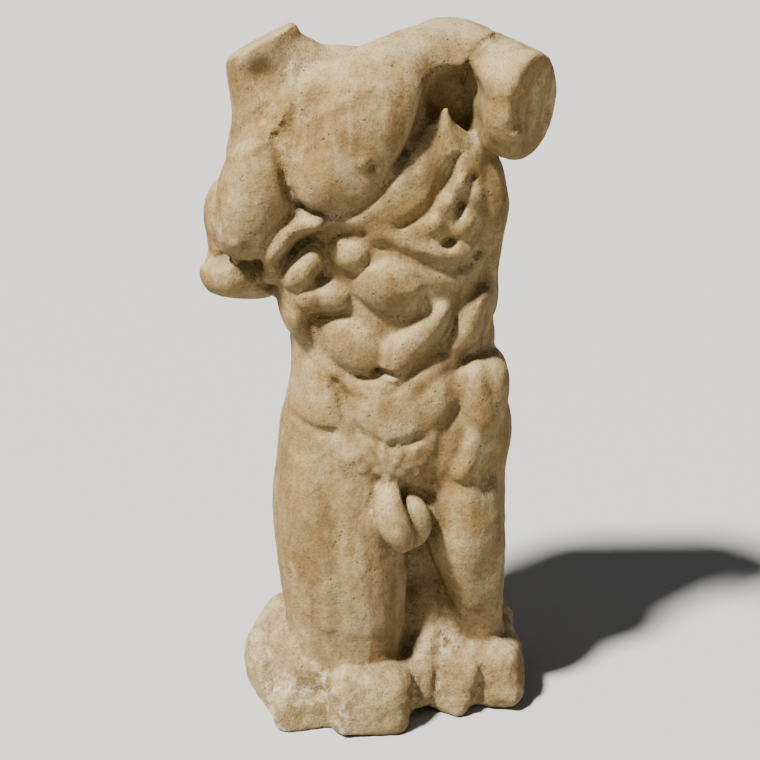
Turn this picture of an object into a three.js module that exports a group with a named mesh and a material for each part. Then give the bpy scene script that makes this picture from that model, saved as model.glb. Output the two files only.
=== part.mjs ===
// Torso statue on a rock base, one cast piece. Millimetres, x to the viewer's right, y away from the viewer, z up.
import * as THREE from "three";

// body sizes: half widths across, deep and high
const ribcageHalf = [118, 74, 116];
const waistHalf = [106, 64, 96];
const hipHalf = [117, 80, 92];
const shoulderHalf = [116, 58, 60];
const chestTurn = -22; // degrees, the chest faces the viewer's left
const neckRadius = 39;
const leftStumpRadius = 52;
const rightStumpRadius = 34;
const leftThighRadius = 42;
const rightThighRadius = 68;
const breastHalf = [96, 48, 52]; // long, deep, wide
const breastSlope = 56; // degrees, it rises to the raised shoulder
const armpitHalf = [30, 54, 26];
const padHeight = 17; // how far the stomach pads stand out
const padSteepness = 0.6; // lower is a steeper edge
const seatHeight = 22;
const rightRockHalf = [74, 80, 38];
const leftRockHalf = [54, 74, 42];
const frontBlockHalf = [44, 50, 38];
const bodyTop = 750;

// facet sizes along x, front to back, and up
const facetAcross = 12.5;
const facetFront = 12;
const facetBack = 23;
const facetHigh = 12.5;
const facetThigh = 24;

const rad = THREE.MathUtils.degToRad;
const frontFace = 0;
const backFace = 180;

// Turn about x (pitch), then y (roll), then z (yaw), as nine numbers by column.
function turning(yaw = 0, roll = 0, pitch = 0) {
  const m = new THREE.Matrix4().makeRotationZ(rad(yaw));
  m.multiply(new THREE.Matrix4().makeRotationY(rad(roll)));
  m.multiply(new THREE.Matrix4().makeRotationX(rad(pitch)));
  const e = m.elements;
  return [e[0], e[1], e[2], e[4], e[5], e[6], e[8], e[9], e[10]];
}

// A curve through the points, each with its radius last.
function smoothCurve(points, steps) {
  if (points.length < 3) return points;
  const ends = (a, b) => a.map((v, i) => 2 * v - b[i]);
  const all = [ends(points[0], points[1]), ...points, ends(points.at(-1), points.at(-2))];
  const out = [];
  for (let i = 1; i < all.length - 2; i++) {
    const [p0, p1, p2, p3] = all.slice(i - 1, i + 3);
    for (let j = 0; j < steps; j++) {
      const t = j / steps;
      out.push(p1.map((v, n) => 0.5 * (2 * v + (p2[n] - p0[n]) * t
        + (2 * p0[n] - 5 * v + 4 * p2[n] - p3[n]) * t * t
        + (3 * v - p0[n] - 3 * p2[n] + p3[n]) * t * t * t)));
    }
  }
  out.push(points.at(-1));
  return out;
}

// The clay is a signed distance, negative inside, made by joining and cutting soft forms one after another.
const forms = [];
const clay = (x, y, z) => forms.reduce((f, form) => form(x, y, z, f), 1000);

function addForm(low, high, distance, soft, cut) {
  const grow = soft + 8;
  forms.push((x, y, z, f) => {
    if (x < low[0] - grow || y < low[1] - grow || z < low[2] - grow) return f;
    if (x > high[0] + grow || y > high[1] + grow || z > high[2] + grow) return f;
    const d = distance(x, y, z);
    const other = cut ? -d : d;
    const h = Math.max(soft - Math.abs(f - other), 0) / soft;
    return cut ? Math.max(f, other) + h * h * soft / 4 : Math.min(f, other) - h * h * soft / 4;
  });
}

function withPlanes(distance, planes) {
  return planes.reduce((inner, [point, normal, round]) => {
    const n = new THREE.Vector3(...normal).normalize();
    return (x, y, z) => {
      const d = inner(x, y, z);
      const e = (x - point[0]) * n.x + (y - point[1]) * n.y + (z - point[2]) * n.z;
      const h = Math.max(round - Math.abs(d - e), 0) / round;
      return Math.max(d, e) + h * h * round / 4;
    };
  }, distance);
}

function egg(centre, half, { turn = turning(), soft = 10, cut = false, power = 2 } = {}) {
  const reach = [0, 1, 2].map((i) => Math.hypot(turn[i] * half[0], turn[3 + i] * half[1], turn[6 + i] * half[2]) * (power > 2 ? 1.25 : 1));
  const distance = (x, y, z) => {
    const d = [x - centre[0], y - centre[1], z - centre[2]];
    const q = [0, 1, 2].map((i) => Math.abs(d[0] * turn[3 * i] + d[1] * turn[3 * i + 1] + d[2] * turn[3 * i + 2]) / half[i]);
    const size = (q[0] ** power + q[1] ** power + q[2] ** power) ** (1 / power) + 1e-9;
    const slope = Math.hypot(...q.map((v, i) => v ** (power - 1) / half[i])) * size ** (1 - power) + 1e-9;
    return (size - 1) / slope;
  };
  addForm(centre.map((c, i) => c - reach[i]), centre.map((c, i) => c + reach[i]), distance, soft, cut);
}

function limb(points, { soft = 5, steps = 6, cut = false, planes = [] } = {}) {
  const path = smoothCurve(points, steps);
  const low = [0, 1, 2].map((i) => Math.min(...path.map((p) => p[i] - p[3])));
  const high = [0, 1, 2].map((i) => Math.max(...path.map((p) => p[i] + p[3])));
  const distance = (x, y, z) => {
    let best = 1e6;
    for (let i = 0; i + 1 < path.length; i++) {
      const a = path[i];
      const b = path[i + 1];
      const [dx, dy, dz] = [b[0] - a[0], b[1] - a[1], b[2] - a[2]];
      const along = ((x - a[0]) * dx + (y - a[1]) * dy + (z - a[2]) * dz) / Math.max(dx * dx + dy * dy + dz * dz, 1e-9);
      const t = Math.min(Math.max(along, 0), 1);
      best = Math.min(best, Math.hypot(x - a[0] - t * dx, y - a[1] - t * dy, z - a[2] - t * dz) - a[3] - t * (b[3] - a[3]));
    }
    return best;
  };
  addForm(low, high, withPlanes(distance, planes), soft, cut);
}

function block(centre, half, { yaw = 0, roll = 0, pitch = 0, round = 6, soft = 6, cut = false } = {}) {
  const turn = turning(yaw, roll, pitch);
  const reach = Math.hypot(...half);
  addForm(centre.map((c) => c - reach), centre.map((c) => c + reach), (x, y, z) => {
    const d = [x - centre[0], y - centre[1], z - centre[2]];
    const q = half.map((h, i) => Math.abs(d[0] * turn[3 * i] + d[1] * turn[3 * i + 1] + d[2] * turn[3 * i + 2]) - h + round);
    return Math.hypot(...q.map((v) => Math.max(v, 0))) + Math.min(Math.max(...q), 0) - round;
  }, soft, cut);
}

// The first point of the clay that a level line meets, seen from that face.
function skin(across, z, face) {
  const n = [Math.sin(rad(face)), -Math.cos(rad(face))];
  const at = (t) => [n[0] * t - n[1] * across, n[1] * t + n[0] * across, z];
  let t = 260;
  while (t > -260 && clay(...at(t)) >= 0) t -= 1;
  return { point: at(t + 0.5), n };
}

// A muscle laid on the skin: half length, half width and how far it stands out.
function muscle(across, z, [long, wide, high], { slope = 0, soft = 8, face = frontFace, steep = 0.5 } = {}) {
  const thick = high / (1 - steep);
  const { point, n } = skin(across, z, face);
  const centre = [point[0] - n[0] * steep * thick, point[1] - n[1] * steep * thick, z];
  const grow = 1 / Math.sqrt(1 - steep * steep);
  egg(centre, [long * grow, thick, wide * grow], { turn: turning(face, -slope), soft });
}

// A cord of muscle laid along the skin, each point being across, up and radius.
function cord(points, { sink = 0, soft = 5, face = frontFace } = {}) {
  limb(points.map(([across, z, radius]) => {
    const { point, n } = skin(across, z, face);
    return [point[0] - n[0] * sink, point[1] - n[1] * sink, z, radius];
  }), { soft, steps: 5 });
}

function trunk() {
  egg([17, 6, 314], hipHalf, { soft: 1 });
  egg([13, 6, 414], waistHalf, { soft: 30 });
  egg([-2, 8, 530], ribcageHalf, { turn: turning(chestTurn, -6), soft: 34 });
  egg([-28, 16, 618], shoulderHalf, { turn: turning(0, -18), soft: 26 });
  limb([[-104, -6, 628, 30], [-66, -22, 652, 32], [-16, -28, 674, 32], [36, -20, 692, 34], [76, -8, 698, 32]], { soft: 22 });
  limb([[-50, 24, 660, 44], [0, 24, 662, 42], [60, 16, 680, 46]], { soft: 18, steps: 8 });
}

function neck() {
  const top = [[-122, 0, 708], [-0.46, -0.03, 0.89], 8];
  limb([[-94, 12, 626, neckRadius + 11], [-111, 4, 690, neckRadius], [-122, 0, bodyTop, neckRadius - 4]], { soft: 20, steps: 12, planes: [top] });
  egg([-80, 8, 690], [25, 30, 22], { soft: 14 });
  egg([-114, -56, 678], [30, 32, 27], { turn: turning(0, -28), soft: 8, cut: true });
  egg([-110, -58, 652], [13, 22, 22], { turn: turning(0, 12), soft: 10, cut: true });
}

function arms() {
  const leftCut = [[143, -60, 656], [0.84, -0.53, -0.1], 7];
  limb([[60, 14, 686, 42], [100, -12, 672, leftStumpRadius - 2], [132, -48, 657, leftStumpRadius]], { soft: 12, steps: 10, planes: [leftCut] });
  egg([-112, 32, 572], [42, 44, 62], { turn: turning(0, -12), soft: 24 });
  egg([-150, 8, 536], [28, 42, 42], { turn: turning(0, -4), soft: 5 });
  const rightCut = [[-142, -14, 462], [-0.06, -0.42, -0.9], 8];
  limb([[-142, 8, 520, rightStumpRadius - 4], [-144, -4, 484, rightStumpRadius], [-142, -10, 450, rightStumpRadius + 1]], { soft: 6, steps: 8, planes: [rightCut] });
  egg([-154, -32, 486], [26, 22, 21], { turn: turning(0, 12), soft: 5 });
}

function thighs() {
  limb([[-42, 0, 310, 58], [-46, -8, 240, rightThighRadius], [-42, -14, 160, rightThighRadius - 2], [-38, -18, 80, 60]], { soft: 26, steps: 12 });
  limb([[-62, -24, 290, 30], [-62, -32, 230, 40], [-56, -36, 150, 42], [-46, -36, 80, 38]], { soft: 20, steps: 10 });
  limb([[-20, -28, 290, 26], [-14, -36, 220, 38], [-14, -38, 150, 40], [-18, -38, 80, 38]], { soft: 20, steps: 10 });
  limb([[78, 14, 310, 58], [90, 18, 250, 46], [96, 18, 170, 41], [100, 14, 80, 36]], { soft: 22, steps: 12 });
  limb([[80, -18, 296, 30], [85, -24, 244, leftThighRadius], [92, -24, 196, leftThighRadius], [102, -16, 146, 33], [108, -8, 84, 27]], { soft: 10, steps: 10 });
  // web of stone left between the thighs
  egg([40, 24, 150], [54, 36, 150], { soft: 12 });
  egg([46, -2, 74], [30, 36, 56], { soft: 18 });
}

function backMuscles() {
  cord([[28, 500, 20], [24, 430, 26], [30, 370, 20]], { sink: 17, soft: 20, face: backFace });
  cord([[-46, 520, 20], [-40, 440, 26], [-36, 372, 20]], { sink: 17, soft: 20, face: backFace });
  muscle(86, 604, [54, 34, 12], { slope: 70, soft: 16, face: backFace });
  muscle(-46, 606, [56, 36, 12], { slope: -62, soft: 16, face: backFace });
  muscle(46, 294, [50, 50, seatHeight], { slope: 14, soft: 18, face: backFace });
  muscle(-70, 300, [54, 48, seatHeight - 2], { slope: -12, soft: 18, face: backFace });
}

function chest() {
  // side of the rib cage and the column behind it
  egg([38, -38, 566], [92, 35, 50], { turn: turning(14, 10, -6), soft: 8 });
  limb([[86, -18, 624, 14], [101, -24, 590, 19], [104, -22, 548, 21], [102, -12, 500, 19], [102, -4, 450, 18]], { soft: 8, steps: 8 });
  // breast muscles
  egg([-24, -42, 622], breastHalf, { turn: turning(-10, -breastSlope, -6), soft: 18, power: 2.2 });
  egg([-50, -52, 586], [38, 36, 28], { turn: turning(-10, -40), soft: 14 });
  egg([-114, -30, 572], [69, 50, 43], { turn: turning(-20, -74), soft: 7 });
  egg([-131, -46, 537], [34, 32, 25], { turn: turning(-24, -66), soft: 14 });
  // armpit and the slip of muscle that points into it
  egg([74, -34, 606], [26, 22, 36], { soft: 14 });
  egg([70, -66, 664], armpitHalf, { turn: turning(0, -44), soft: 10, cut: true });
  egg([80, -60, 638], [17, 50, 34], { turn: turning(0, -6), soft: 7, cut: true });
  egg([48, -84, 626], [16, 40, 46], { turn: turning(20, 14), soft: 12, cut: true });
  limb([[-6, -60, 570, 14], [16, -54, 584, 20], [38, -50, 600, 22], [52, -46, 618, 17], [60, -46, 636, 9], [62, -48, 650, 4]], { soft: 10 });
  egg([68, -36, 600], [26, 22, 38], { turn: turning(0, -10), soft: 12 });
  egg([88, -26, 584], [20, 20, 40], { soft: 10 });
  egg([-80, -18, 466], [24, 38, 46], { soft: 12 });
}

function loins() {
  egg([102, -14, 362], [31, 46, 42], { turn: turning(0, 2), soft: 5, power: 2.8 });
  egg([6, -58, 304], [46, 22, 34], { soft: 8 });
  egg([4, -64, 238], [20, 21, 26], { soft: 6 });
  egg([32, -66, 232], [22, 23, 28], { soft: 10 });
  limb([[8, -70, 270, 12], [10, -86, 256, 14.5], [16, -93, 238, 15.5], [23, -90, 224, 14]], { soft: 3 });
}

function rocks() {
  block([-44, 18, 34], rightRockHalf, { yaw: 6, round: 28, soft: 5 });
  egg([-108, -14, 36], [40, 62, 52], { turn: turning(20), soft: 8 });
  egg([-106, 22, 58], [28, 48, 40], { turn: turning(0, -14), soft: 10 });
  block([-76, -50, 16], [44, 44, 24], { yaw: 12, round: 14, soft: 12 });
  limb([[-114, -10, 90, 12], [-104, -42, 78, 16], [-86, -64, 62, 14], [-62, -74, 54, 12]], { soft: 10, steps: 5 });
  block([-12, -58, 30], frontBlockHalf, { yaw: 3, roll: 3, pitch: -5, round: 20, soft: 6 });
  egg([-8, -66, 34], [40, 42, 34], { soft: 10 });
  block([98, 22, 34], leftRockHalf, { yaw: -4, round: 28, soft: 6 });
  limb([[54, -32, 84, 10], [48, -46, 60, 17], [42, -56, 24, 18]], { soft: 12, steps: 4 });
  limb([[70, -18, 70, 18], [74, -36, 44, 18], [76, -40, 10, 18]], { soft: 14, steps: 4 });
  limb([[-128, -24, 84, 3], [-124, -58, 48, 6], [-112, -78, 8, 5]], { soft: 8, steps: 5, cut: true });
  block([-76, -92, 50], [17, 9, 15], { yaw: 12, round: 4, soft: 4, cut: true });
  block([88, -38, 30], [20, 28, 34], { yaw: -22, roll: 14, pitch: -10, round: 8, soft: 7 });
  block([133, -24, 34], [24, 34, 34], { yaw: -8, roll: -8, pitch: -6, round: 16, soft: 5 });
}

// Relief stands on the clay as a height over (across, up). Pads and straps take the higher one; ridges add, and grooves are ridges of negative height.
const nearness = (points) => {
  const path = smoothCurve(points, 6);
  return (u, z) => {
    let best = 1e6;
    for (let i = 0; i + 1 < path.length; i++) {
      const a = path[i];
      const b = path[i + 1];
      const [du, dz] = [b[0] - a[0], b[1] - a[1]];
      const t = Math.min(Math.max(((u - a[0]) * du + (z - a[1]) * dz) / Math.max(du * du + dz * dz, 1e-9), 0), 1);
      best = Math.min(best, Math.hypot(u - a[0] - t * du, z - a[1] - t * dz) / (a[2] + t * (b[2] - a[2])));
    }
    return best;
  };
};

const hill = (distance, height, power) => (u, z) => height * Math.max(1 - distance(u, z) ** 2, 0) ** power;

function ovalDistance(u0, z0, long, wide, slope) {
  const [c, s] = [Math.cos(rad(slope)), Math.sin(rad(slope))];
  return (u, z) => Math.hypot(((u - u0) * c + (z - z0) * s) / long, ((z - z0) * c - (u - u0) * s) / wide);
}

const higher = (distance, height, power) => {
  const h = hill(distance, height, power);
  return (u, z, m) => Math.max(m, h(u, z));
};
const added = (distance, height, power = 1.5) => {
  const h = hill(distance, height, power);
  return (u, z, m) => m + h(u, z);
};

const pad = (u, z, long, wide, { slope = 0, height = padHeight, power = padSteepness } = {}) => higher(ovalDistance(u, z, long, wide, slope), height, power);
const strap = (height, power, ...points) => higher(nearness(points), height, power);
const ridge = (height, ...points) => added(nearness(points), height);
const spot = (u, z, long, wide, height, slope = 0) => added(ovalDistance(u, z, long, wide, slope), height);

// across, up, half length, half width, height and slope
const ribKnobs = [
  [77, 584, 13, 10, 6, 40], [64, 565, 13, 10, 6, 50], [53, 546, 14, 10, 6, 40], [83, 542, 13, 10, 6, 60], [94, 570, 10, 12, 5, 0],
  [77, 560, 11, 7, -12, 60], [67, 527, 10, 8, -13, 0], [94, 512, 8, 7, -8, 0], [72, 608, 9, 6, -5, 30],
];

const frontRelief = [
  // stomach pads
  pad(-31, 515, 21, 18, { height: padHeight - 2 }),
  pad(5, 484, 32, 26, { height: padHeight }),
  strap(padHeight - 2, 0.7, [12, 485, 19], [24, 484, 14], [34, 482, 7]),
  pad(-57, 468, 28, 18, { height: padHeight - 1, slope: -6 }),
  pad(-76, 500, 28, 19, { height: padHeight + 4, slope: 44 }),
  pad(-34, 419, 40, 28, { height: padHeight, slope: -28 }),
  // horns of the flank
  strap(15, 0.7, [12, 396, 14], [20, 412, 20], [38, 428, 18], [54, 442, 15], [62, 456, 10]),
  strap(14, 0.7, [76, 418, 9], [86, 429, 17], [98, 446, 18], [106, 466, 11]),
  // waist strap, lower belly and hip
  strap(8, 0.8, [-86, 448, 9], [-80, 430, 12], [-64, 405, 12], [-41, 386, 11], [-10, 371, 10], [20, 371, 10], [50, 391, 12], [74, 406, 10]),
  pad(8, 354, 46, 32, { height: 9, power: 0.7 }),
  pad(58, 368, 40, 24, { height: 9, slope: 50, power: 0.8 }),
  pad(-68, 368, 46, 36, { height: 9, slope: 80, power: 0.7 }),
  strap(9, 0.9, [94, 390, 14], [98, 362, 16], [104, 336, 15], [96, 306, 14], [82, 284, 10]),
  // rib arch and rim of the rib cage side
  strap(15, 0.9, [-60, 547, 10], [-74, 541, 13], [-88, 527, 15], [-101, 508, 15], [-109, 488, 13]),
  strap(3.5, 1.2, [-50, 551, 12], [-34, 550, 13], [-10, 536, 14], [16, 522, 15], [52, 514, 14], [84, 516, 12]),
  // thighs
  ridge(5, [90, 284, 26], [91, 225, 30], [94, 182, 28], [94, 130, 24]),
  ridge(4, [-78, 290, 18], [-68, 240, 20], [-60, 180, 18], [-54, 120, 14]),
  ridge(3, [-40, 270, 20], [-34, 200, 22], [-30, 120, 18]),
  ridge(4, [-22, 262, 26], [-14, 200, 30], [-6, 120, 26]),
  spot(110, 268, 11, 16, -6),
  // grooves: under the ribs, inside the rib arch, along the breastbone and the breasts, at the waist, groin and belly, beside the armpit
  ridge(-8, [2, 524, 9], [28, 514, 11], [54, 505, 12], [72, 501, 11], [88, 504, 8]),
  ridge(-2, [-58, 536, 4], [-72, 526, 6], [-86, 510, 6], [-96, 488, 5]),
  ridge(-5, [-100, 628, 5], [-95, 610, 7], [-91, 592, 7], [-86, 574, 7], [-74, 560, 6]),
  ridge(-7, [-76, 562, 6], [-58, 556, 8], [-34, 558, 9], [-10, 570, 9], [8, 590, 8], [24, 614, 5]),
  ridge(-4, [-62, 436, 5], [-58, 420, 6], [-46, 403, 7], [-18, 390, 7]),
  ridge(-6, [-44, 380, 9], [-27, 340, 10], [-10, 306, 10], [0, 280, 8]),
  ridge(-4, [76, 352, 8], [67, 334, 10], [60, 306, 10], [50, 276, 8]),
  ridge(-5, [-88, 338, 6], [-66, 331, 7], [-42, 329, 6]),
  ridge(-4, [-22, 334, 7], [10, 321, 8], [44, 326, 7]),
  ridge(-7, [70, 600, 8], [57, 577, 9], [44, 560, 9], [20, 545, 7]),
  ridge(-3, [-156, 560, 4], [-154, 540, 6], [-148, 520, 7], [-134, 504, 6]),
  // hollows and knobs beside the rib cage
  ...ribKnobs.map(([u, z, long, wide, height, slope]) => spot(u, z, long, wide, height, slope)),
  // navel
  spot(6, 394, 17, 6, -13),
  ridge(3, [-16, 384, 5], [6, 380, 7], [30, 388, 5]),
  // collar bones and neck cords
  ridge(2.4, [-100, 630, 4], [-88, 646, 11], [-70, 668, 13], [-54, 690, 4]),
  ridge(1.6, [-74, 638, 2], [-38, 660, 9], [-6, 678, 2]),
  ridge(2.4, [-104, 626, 3], [-128, 616, 10], [-150, 606, 3]),
  ridge(5, [-122, 674, 3], [-110, 656, 7], [-101, 634, 3]),
  ridge(4, [-82, 690, 4], [-86, 664, 9], [-96, 640, 4]),
  // arm stumps
  ridge(-4.5, [80, 674, 4], [86, 697, 7], [98, 711, 7], [120, 717, 6], [142, 712, 4]),
  ridge(-5, [-180, 506, 7], [-164, 500, 8], [-150, 506, 7]),
  spot(129, 634, 9, 8, 5),
  spot(110, 684, 24, 22, 6),
];

const backRelief = [
  ridge(-9, [80, 640, 18], [36, 580, 22], [8, 520, 24], [-8, 460, 24], [-10, 390, 22], [-6, 336, 18]),
  ridge(-14, [-6, 330, 10], [-4, 290, 14], [-4, 250, 14]),
  ridge(6, [60, 236, 34], [56, 170, 38], [46, 116, 32]),
  ridge(6, [-90, 236, 30], [-92, 170, 34], [-92, 116, 28]),
];
const ramp = (t) => { const s = Math.min(Math.max(t, 0), 1); return s * s * (3 - 2 * s); };

// Each height is the mean of a small square, so that the relief suits the facets.
function relief(list, side, start, end) {
  const spread = facetAcross * 0.4;
  const heights = new Map();
  const height = (u, z) => {
    const key = `${u.toFixed(1)},${z.toFixed(1)}`;
    if (!heights.has(key)) {
      let sum = 0;
      for (let i = -1; i <= 1; i++) for (let j = -1; j <= 1; j++) {
        sum += list.reduce((m, part) => part(u + i * spread, z + j * spread, m), 0);
      }
      heights.set(key, sum / 9);
    }
    return heights.get(key);
  };
  forms.push((x, y, z, f) => {
    const share = ramp((y - start) / (end - start));
    return share > 0 ? f - share * height(side * x, z) : f;
  });
}

// Grid cells where the skin would touch itself are filled, so each cell holds one sheet of it. A cell is sound when its inner corners join along its edges, and its outer ones too.
const soundCells = Array.from({ length: 256 }, (_, bits) => [1, 0].every((kind) => {
  const members = [0, 1, 2, 3, 4, 5, 6, 7].filter((n) => ((bits >> n) & 1) === kind);
  const reached = new Set(members.slice(0, 1));
  for (const n of reached) for (const bit of [1, 2, 4]) if (members.includes(n ^ bit)) reached.add(n ^ bit);
  return reached.size === members.length;
}));

// Air that can't be reached from outside the grid becomes stone.
function fillHollows(value, size, node) {
  const open = new Set([node(0, 0, size[2] - 1)]);
  const queue = [[0, 0, size[2] - 1]];
  while (queue.length) {
    const here = queue.pop();
    for (let axis = 0; axis < 3; axis++) for (const step of [-1, 1]) {
      const next = [...here];
      next[axis] += step;
      if (next[axis] < 0 || next[axis] >= size[axis]) continue;
      const n = node(...next);
      if (value[n] < 0 || open.has(n)) continue;
      open.add(n);
      queue.push(next);
    }
  }
  value.forEach((v, n) => { if (v >= 0 && !open.has(n)) value[n] = -1; });
}

function fillPinches(value, [nx, ny, nz], node) {
  for (let changed = true; changed;) {
    changed = false;
    for (let i = 0; i + 1 < nx; i++) for (let j = 0; j + 1 < ny; j++) for (let k = 1; k + 1 < nz; k++) {
      const cell = [0, 1, 2, 3, 4, 5, 6, 7].map((n) => node(i + (n & 1), j + ((n >> 1) & 1), k + (n >> 2)));
      const bits = cell.reduce((sum, n, bit) => sum + (value[n] < 0 ? 1 << bit : 0), 0);
      if (soundCells[bits]) continue;
      const outer = cell.filter((n) => value[n] >= 0).sort((a, b) => value[a] - value[b]);
      value[outer[0]] = -1;
      changed = true;
    }
  }
}

// Facets: one corner in each grid cell that the skin crosses, drawn on to the skin, and the lowest layer flat on z = 0.
function gridLines(start, stop, stepAt) {
  const lines = [start];
  while (lines.at(-1) < stop) lines.push(lines.at(-1) + stepAt(lines.at(-1)));
  return lines;
}

function facets() {
  const xs = gridLines(-198, 186, () => facetAcross);
  const ys = gridLines(-134, 128, (y) => (y < 0 ? facetFront : facetBack));
  const zs = [-facetHigh, ...gridLines(0, 742, (z) => (z > 110 && z < 260 ? facetThigh : facetHigh))];
  const [nx, ny, nz] = [xs.length, ys.length, zs.length];
  const node = (i, j, k) => (i * ny + j) * nz + k;
  const value = new Float64Array(nx * ny * nz);
  for (let i = 0; i < nx; i++) for (let j = 0; j < ny; j++) for (let k = 0; k < nz; k++) {
    value[node(i, j, k)] = k === 0 ? 5 : clay(xs[i], ys[j], zs[k]);
  }
  fillPinches(value, [nx, ny, nz], node);
  fillHollows(value, [nx, ny, nz], node);
  const corners = [];
  const cornerOf = new Map();
  for (let i = 0; i + 1 < nx; i++) for (let j = 0; j + 1 < ny; j++) for (let k = 0; k + 1 < nz; k++) {
    const sum = [0, 0, 0];
    let count = 0;
    for (let axis = 0; axis < 3; axis++) for (let s = 0; s < 4; s++) {
      const a = [i, j, k];
      a[(axis + 1) % 3] += s & 1;
      a[(axis + 2) % 3] += s >> 1;
      const b = [...a];
      b[axis] += 1;
      const [va, vb] = [value[node(...a)], value[node(...b)]];
      if ((va < 0) === (vb < 0)) continue;
      const t = va / (va - vb);
      const at = (n) => [xs[n[0]], ys[n[1]], zs[n[2]]];
      at(a).forEach((v, n) => { sum[n] += v + t * (at(b)[n] - v); });
      count++;
    }
    if (!count) continue;
    const p = sum.map((v) => v / count);
    cornerOf.set(node(i, j, k), corners.length);
    corners.push(settle(p, k === 0));
  }
  const triangles = [];
  for (let axis = 0; axis < 3; axis++) for (let i = 1; i + 1 < nx; i++) for (let j = 1; j + 1 < ny; j++) for (let k = axis === 2 ? 0 : 1; k + 1 < nz; k++) {
    const a = [i, j, k];
    const b = [...a];
    b[axis] += 1;
    const inside = value[node(...a)] < 0;
    if (inside === value[node(...b)] < 0) continue;
    const ring = [[0, 0], [-1, 0], [-1, -1], [0, -1]].map(([s, t]) => {
      const c = [...a];
      c[(axis + 1) % 3] += s;
      c[(axis + 2) % 3] += t;
      return cornerOf.get(node(...c));
    });
    if (!inside) ring.reverse();
    const off = (m, n) => Math.abs(clay(...corners[m].map((v, c) => (v + corners[n][c]) / 2)));
    const [p, q, r, s] = ring;
    if (off(p, r) <= off(q, s)) triangles.push(p, q, r, p, r, s);
    else triangles.push(q, r, s, q, s, p);
  }
  return { corners, triangles };
}

// Moves a corner on to the skin, at most half a facet; a corner of the underside keeps its height.
function settle(start, onBase) {
  let p = [...start];
  if (onBase) p[2] = 0;
  for (let turn = 0; turn < 4; turn++) {
    const f = clay(...p);
    if (onBase && f < -3) break;
    const slope = [0, 1, 2].map((n) => {
      const step = [0, 0, 0];
      step[n] = 0.5;
      return onBase && n === 2 ? 0 : clay(...p.map((v, c) => v + step[c])) - clay(...p.map((v, c) => v - step[c]));
    });
    const size = slope.reduce((sum, v) => sum + v * v, 1e-6);
    p = p.map((v, n) => v - f * slope[n] / size);
  }
  const moved = Math.hypot(...p.map((v, n) => v - start[n]));
  const limit = facetAcross * 0.55;
  if (moved > limit && !onBase) p = p.map((v, n) => start[n] + (v - start[n]) * limit / moved);
  if (!onBase) p[2] = Math.max(p[2], 1); // nothing reaches below the flat underside
  return p;
}

trunk();
neck();
arms();
thighs();
backMuscles();
chest();
loins();
relief(frontRelief, 1, 10, -12);
relief(backRelief, -1, 0, 24);
rocks();

const { corners, triangles } = facets();
const geometry = new THREE.BufferGeometry();
geometry.setAttribute("position", new THREE.Float32BufferAttribute(corners.flat(), 3));
geometry.setIndex(triangles);
geometry.computeBoundingBox();
const box = geometry.boundingBox;
geometry.translate(-(box.min.x + box.max.x) / 2, -(box.min.y + box.max.y) / 2, -box.min.z); // origin under the middle of the box
geometry.computeVertexNormals();

const stone = new THREE.MeshStandardMaterial({ color: 0xb09468, roughness: 0.85, metalness: 0 });
const torso = new THREE.Mesh(geometry, stone);
torso.name = "torso";

const group = new THREE.Group();
group.add(torso);
export default group;
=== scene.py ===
import bpy
import numpy as np
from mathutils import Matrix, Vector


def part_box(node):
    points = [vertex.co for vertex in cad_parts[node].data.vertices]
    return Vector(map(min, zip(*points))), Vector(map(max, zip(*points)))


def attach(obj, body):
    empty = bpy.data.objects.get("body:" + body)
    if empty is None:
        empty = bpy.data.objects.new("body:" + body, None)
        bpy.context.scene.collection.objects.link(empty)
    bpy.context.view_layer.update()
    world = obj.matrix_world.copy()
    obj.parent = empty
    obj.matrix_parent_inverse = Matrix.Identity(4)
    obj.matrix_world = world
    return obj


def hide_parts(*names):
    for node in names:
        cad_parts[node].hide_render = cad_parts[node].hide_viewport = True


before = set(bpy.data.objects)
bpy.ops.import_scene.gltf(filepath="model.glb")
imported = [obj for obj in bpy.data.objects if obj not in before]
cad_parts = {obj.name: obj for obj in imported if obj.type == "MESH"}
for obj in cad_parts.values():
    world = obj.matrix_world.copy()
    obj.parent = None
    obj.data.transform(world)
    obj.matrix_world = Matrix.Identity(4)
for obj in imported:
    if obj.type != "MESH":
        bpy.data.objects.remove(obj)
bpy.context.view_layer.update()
print("frame loaded")

mm = 0.001
gridStep = 3.2  # mm between clay samples
lowCorner = np.array([-192.0, -140.0, -gridStep])
highCorner = np.array([186.0, 130.0, 742.0])


def turning(yaw=0, roll=0, pitch=0):  # about x first, then y, then z, in degrees
    c, b, a = np.radians([yaw, roll, pitch])
    zTurn = [[np.cos(c), -np.sin(c), 0], [np.sin(c), np.cos(c), 0], [0, 0, 1]]
    yTurn = [[np.cos(b), 0, np.sin(b)], [0, 1, 0], [-np.sin(b), 0, np.cos(b)]]
    xTurn = [[1, 0, 0], [0, np.cos(a), -np.sin(a)], [0, np.sin(a), np.cos(a)]]
    return np.array(zTurn) @ np.array(yTurn) @ np.array(xTurn)


def smoothCurve(points, steps):  # passes through every point, with the radius carried along
    q = np.array(points, float)
    if len(q) < 3:
        return q
    q = np.vstack([2 * q[0] - q[1], q, 2 * q[-1] - q[-2]])
    p0, p1, p2, p3 = [q[i:len(q) - 3 + i, None, :] for i in range(4)]
    t = (np.arange(steps) / steps)[None, :, None]
    curve = 2 * p1 + (p2 - p0) * t + (2 * p0 - 5 * p1 + 4 * p2 - p3) * t**2
    curve = 0.5 * (curve + (3 * p1 - p0 - 3 * p2 + p3) * t**3)
    return np.vstack([curve.reshape(-1, q.shape[1]), q[-2]])


def ramp(t):
    s = np.clip(t, 0, 1)
    return s * s * (3 - 2 * s)


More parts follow.
